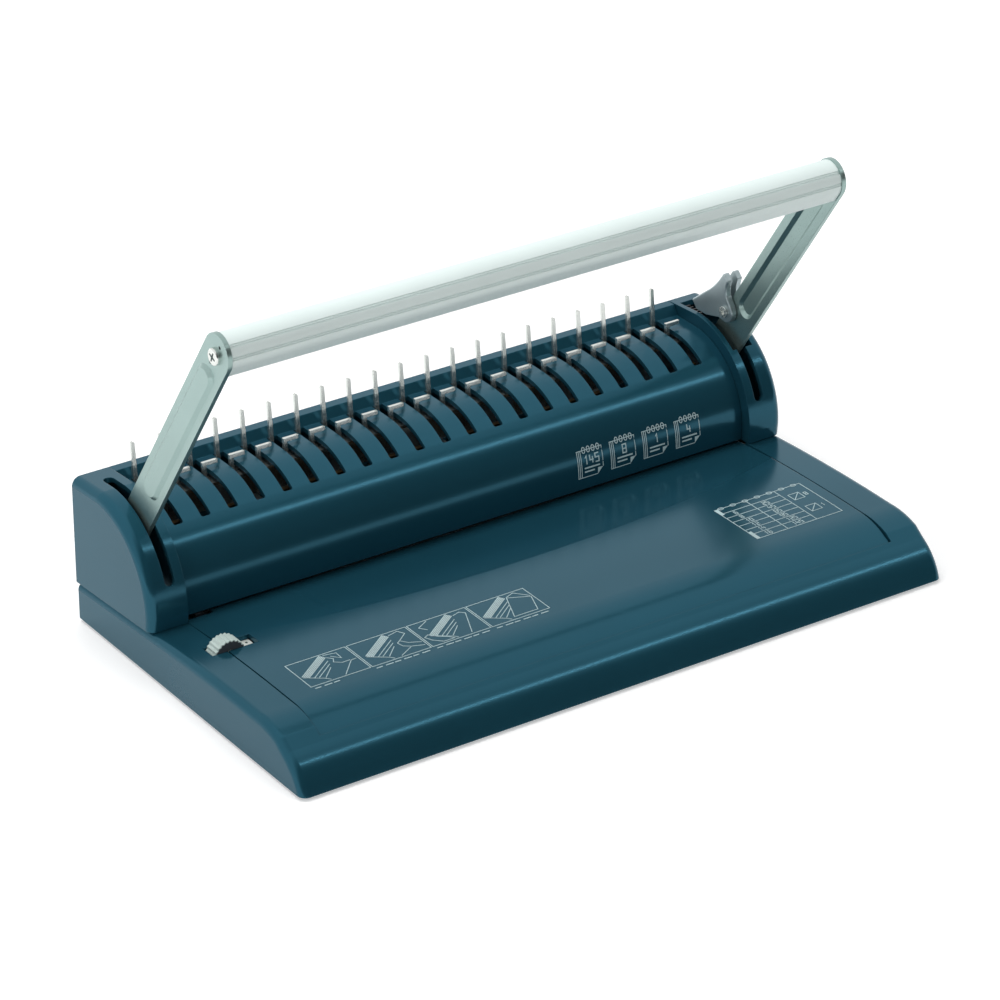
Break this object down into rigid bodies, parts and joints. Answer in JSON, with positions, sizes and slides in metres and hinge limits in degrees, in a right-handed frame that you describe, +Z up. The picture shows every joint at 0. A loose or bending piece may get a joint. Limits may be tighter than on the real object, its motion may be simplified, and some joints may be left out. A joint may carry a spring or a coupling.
{
  "type": "comb binding machine",
  "caption": "Desktop comb binding machine with a swinging handle that lowers a row of punches and draws the comb hooks forward, a thumbwheel edge guide and a chip tray.",
  "frame": {"origin": "on the table under the middle of the machine", "axes": "+X along the comb row to the right, -Y to the front where the paper goes in, +Z up"},
  "size_m": [0.3484, 0.1912, 0.1865],
  "materials": {
    "petrol_plastic": "satin",
    "wheel_plastic": "ribbed",
    "white_plastic": "matt",
    "dark_plastic": "matt",
    "zinc_steel": "zinc plated",
    "yellow_zinc": "yellow zinc plated",
    "nickel_steel": "nickel plated",
    "arm_steel": "silver lacquer",
    "aluminium": "satin anodised",
    "lever_steel": "satin",
    "brass": "plain",
    "foot_rubber": "matt"
  },
  "bodies": {
    "frame": {"base_shell": "petrol_plastic", "table_panel": "petrol_plastic", "hood": "petrol_plastic", "left_end_cap": "petrol_plastic", "right_end_cap": "petrol_plastic", "lock_ratchet": "dark_plastic", "bottom_plate": "zinc_steel", "bottom_screws": "zinc_steel", "rubber_feet": "foot_rubber", "left_side_plate": "zinc_steel", "right_side_plate": "zinc_steel", "shaft_bushes": "brass", "die_plate": "zinc_steel", "guide_plate": "zinc_steel", "throat_spacer": "zinc_steel", "die_screws": "zinc_steel", "guide_posts": "nickel_steel", "return_springs": "nickel_steel", "comb_plate": "nickel_steel", "comb_rail": "zinc_steel", "size_tag": "white_plastic", "wheel_axle": "nickel_steel", "guide_channel": "dark_plastic"},
    "handle": {"left_arm": "arm_steel", "right_arm": "arm_steel", "handle_bar": "aluminium", "arm_screws": "nickel_steel", "drive_shaft": "nickel_steel", "hook_plate": "nickel_steel", "hook_brackets": "zinc_steel", "punch_cams": "zinc_steel", "lever_pin": "nickel_steel"},
    "lever": {"lock_lever": "lever_steel"},
    "punch": {"punch_bar": "yellow_zinc", "punches": "nickel_steel"},
    "wheel": {"thumbwheel": "wheel_plastic"},
    "guide": {"edge_guide": "dark_plastic"},
    "tray": {"chip_tray": "dark_plastic"}
  },
  "joints": [
    {"name": "handle_swing", "type": "hinge", "parent": "frame", "child": "handle", "pos_m": [0, 0.0736, 0.0295], "axis": [1, 0, 0], "range_deg": [0, 30], "stiffness_Nm_per_rad": 1, "springref_deg": -28.65},
    {"name": "punch_slide", "type": "slide", "parent": "frame", "child": "punch", "axis": [0, 0, -1], "range_m": [0, 0.0088], "deforming": ["return_springs"]},
    {"name": "lever_turn", "type": "hinge", "parent": "handle", "child": "lever", "pos_m": [0.162, 0.05459, 0.08254], "axis": [1, 0, 0], "range_deg": [0, 25]},
    {"name": "wheel_turn", "type": "hinge", "parent": "frame", "child": "wheel", "pos_m": [-0.1532, 0, 0.0214], "axis": [0, 1, 0], "range_deg": [-34, 34]},
    {"name": "guide_slide", "type": "slide", "parent": "frame", "child": "guide", "axis": [1, 0, 0], "range_m": [-0.00475, 0.00475]},
    {"name": "tray_slide", "type": "slide", "parent": "frame", "child": "tray", "axis": [1, 0, 0], "range_m": [0, 0.3]}
  ],
  "couplings": [
    {"joint": "punch_slide", "follows": "handle_swing", "m_per_rad": 0.016654},
    {"joint": "guide_slide", "follows": "wheel_turn", "m_per_rad": -0.0079}
  ]
}
